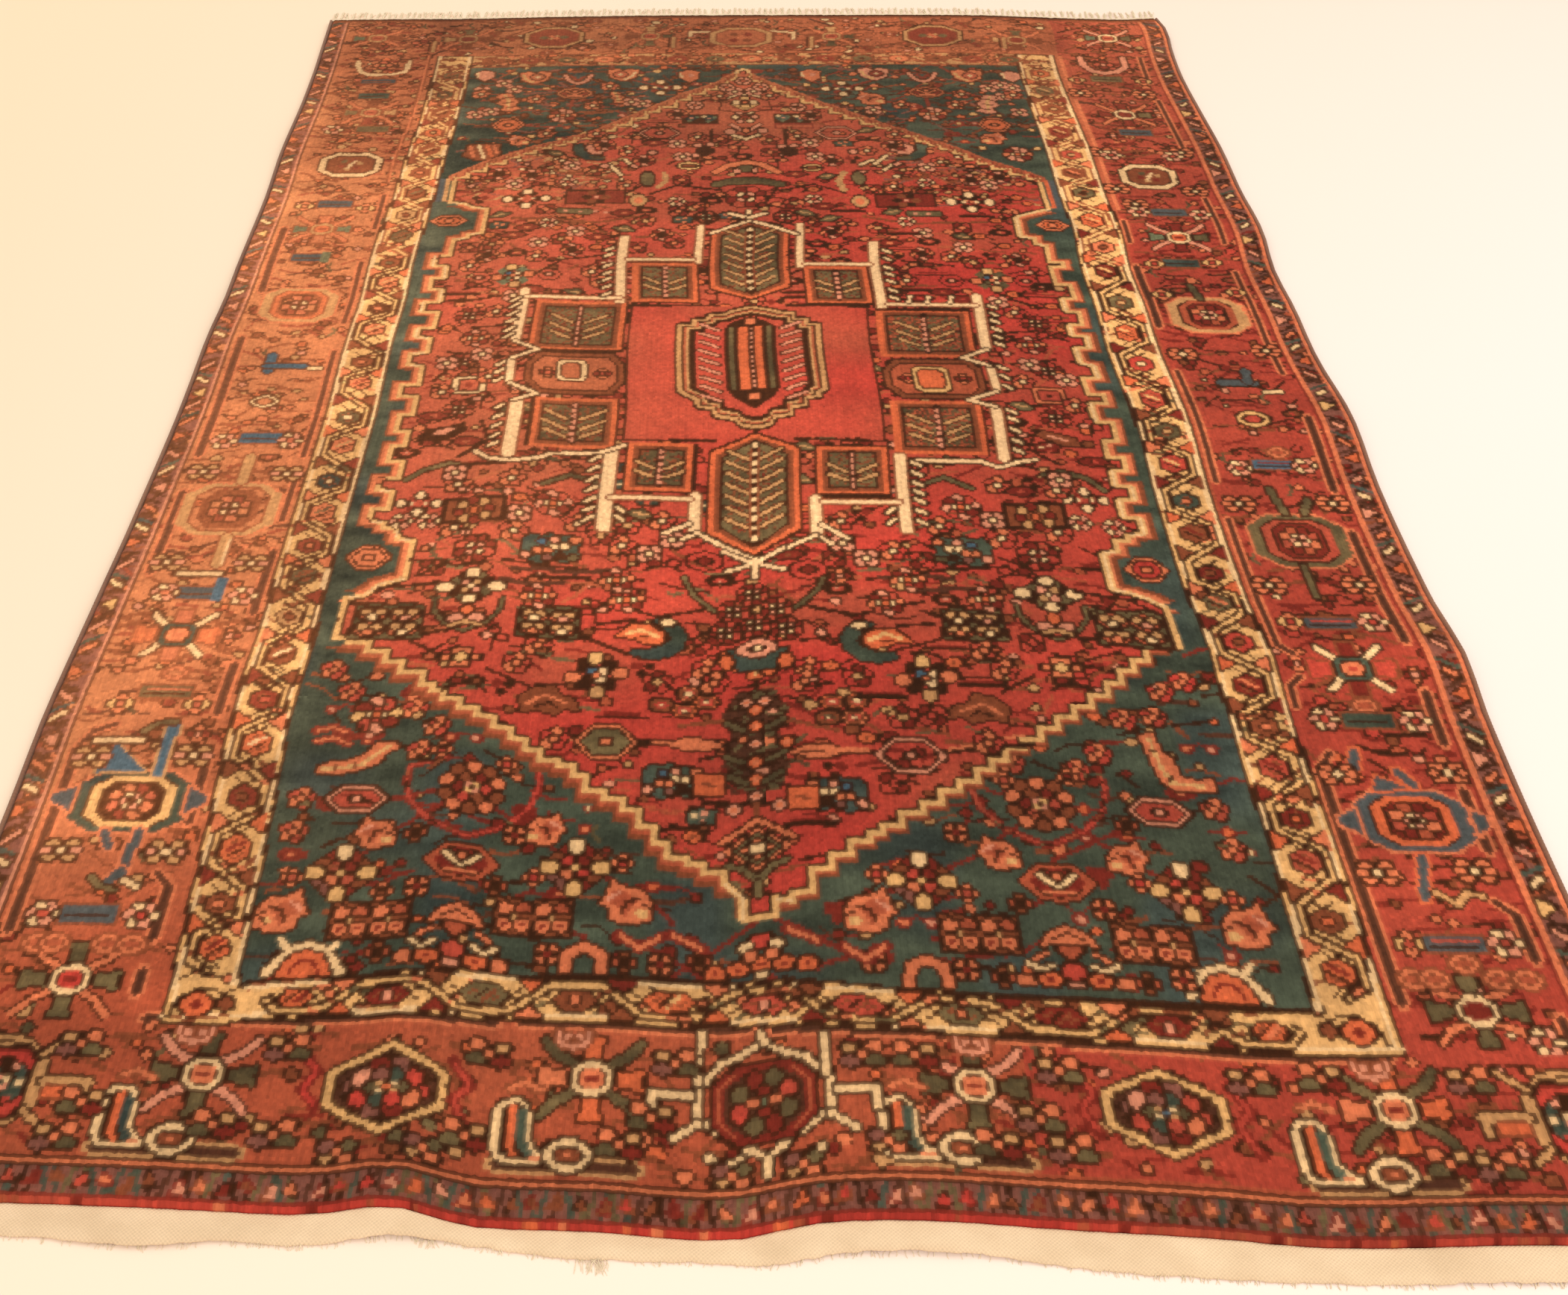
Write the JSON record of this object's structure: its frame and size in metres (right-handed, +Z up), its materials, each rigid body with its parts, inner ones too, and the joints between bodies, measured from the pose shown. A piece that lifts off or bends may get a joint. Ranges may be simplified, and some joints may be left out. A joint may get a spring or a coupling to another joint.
{
  "type": "persian rug",
  "caption": "Flat hand-knotted wool rug with overcast side cords, a plain woven web at one end and a short knotted fringe at the other.",
  "frame": {"origin": "on the floor under the middle of the rug, fringe and web end included", "axes": "+Y along the rug's length towards the fringe, +X across it, +Z up out of the pile"},
  "size_m": [1.414, 2.342, 0.0129],
  "materials": {
    "knotted_wool": "short cut wool pile in madder red, navy, gold and ivory",
    "overcast_wool": "wool wrapped tightly over the edge warps",
    "woven_cotton": "plain woven cream cotton web, matt",
    "warp_cotton": "cream cotton warp ends, matt"
  },
  "bodies": {
    "root": {"pile_cloth": "knotted_wool", "side_cord_left": "overcast_wool", "side_cord_right": "overcast_wool", "web_end_near": "woven_cotton", "fringe_far": "warp_cotton"}
  },
  "joints": []
}
